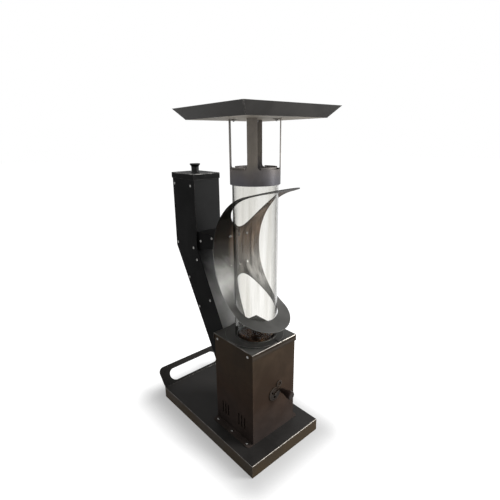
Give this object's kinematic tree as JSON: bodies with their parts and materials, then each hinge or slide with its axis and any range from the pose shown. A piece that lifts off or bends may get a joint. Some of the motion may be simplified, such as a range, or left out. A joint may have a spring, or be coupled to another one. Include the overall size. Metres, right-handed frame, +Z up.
{
  "type": "outdoor fire column",
  "caption": "Free-standing outdoor pellet fire column: hopper and chute feed a burner box, with a glass flame tube, bent guard and square cap.",
  "frame": {"origin": "on the floor, in the middle of the outer box; the glass tube's axis is the line x = 0, y = -0.135 m", "axes": "+Z up along the column, -Y to the front with the damper, +Y to the hopper and the carrying handle"},
  "size_m": [0.3922, 0.6622, 1.1813],
  "materials": {
    "tray_steel": "satin heat-proof paint, brown on the worn edges",
    "box_steel": "satin dark brown steel",
    "hopper_steel": "satin black heat-proof paint",
    "guard_steel": "satin sheet, heat-browned at the top",
    "tinted_steel": "bare steel with a bronze and purple heat tint",
    "fired_steel": "burnt sheet with a rusty brown skin",
    "bright_screw": "zinc-plated",
    "black_plastic": "moulded black plastic",
    "clear_glass": "clear borosilicate tube, faintly smoked"
  },
  "bodies": {
    "root": {"base_tray": "tray_steel", "tray_handle": "tray_steel", "burner_box": "box_steel", "front_panel": "box_steel", "box_lid": "box_steel", "seat_ring": "guard_steel", "flame_riser": "fired_steel", "burner_stand": "fired_steel", "feed_ramp": "fired_steel", "damper_pivot": "bright_screw", "hopper_side_left": "hopper_steel", "hopper_side_right": "hopper_steel", "hopper_front_plate": "hopper_steel", "hopper_rear_plate": "hopper_steel", "bracket_mount": "hopper_steel", "guard_bracket": "hopper_steel", "flame_guard": "guard_steel", "guard_screws": "bright_screw", "guard_nuts": "bright_screw", "bracket_screws": "bright_screw", "hopper_screws": "bright_screw", "box_flange_screws": "bright_screw", "box_flange_nuts": "bright_screw", "box_lid_screws": "bright_screw"},
    "hopper_cover": {"hopper_lid": "hopper_steel", "lid_knob": "black_plastic", "lid_knob_screw": "bright_screw"},
    "glass": {"glass_tube": "clear_glass"},
    "clip_ring": {"collar_clips": "tinted_steel"},
    "crown": {"collar": "tinted_steel", "cap": "tinted_steel", "cap_bolts": "bright_screw", "cap_nuts": "bright_screw"},
    "basket": {"fire_basket": "fired_steel"},
    "damper": {"damper_disc": "box_steel", "damper_lever": "box_steel", "damper_knob": "black_plastic"}
  },
  "joints": [
    {"name": "hopper_cover_lift", "type": "slide", "parent": "root", "child": "hopper_cover", "axis": [0, 0, 1], "range_m": [0, 0.08]},
    {"name": "glass_lift", "type": "slide", "parent": "root", "child": "glass", "axis": [0, 0, 1], "range_m": [0, 0.62]},
    {"name": "crown_lift", "type": "slide", "parent": "glass", "child": "clip_ring", "axis": [0, 0, 1], "range_m": [0, 0.08]},
    {"name": "crown_turn", "type": "hinge", "parent": "clip_ring", "child": "crown", "pos_m": [0, -0.13495, 1], "axis": [0, 0, 1], "continuous": true},
    {"name": "basket_lift", "type": "slide", "parent": "root", "child": "basket", "axis": [0, 0, 1], "range_m": [0, 0.36]},
    {"name": "damper_turn", "type": "hinge", "parent": "root", "child": "damper", "pos_m": [0, -0.2299, 0.212], "axis": [0, -1, 0], "range_deg": [-30, 60]}
  ]
}
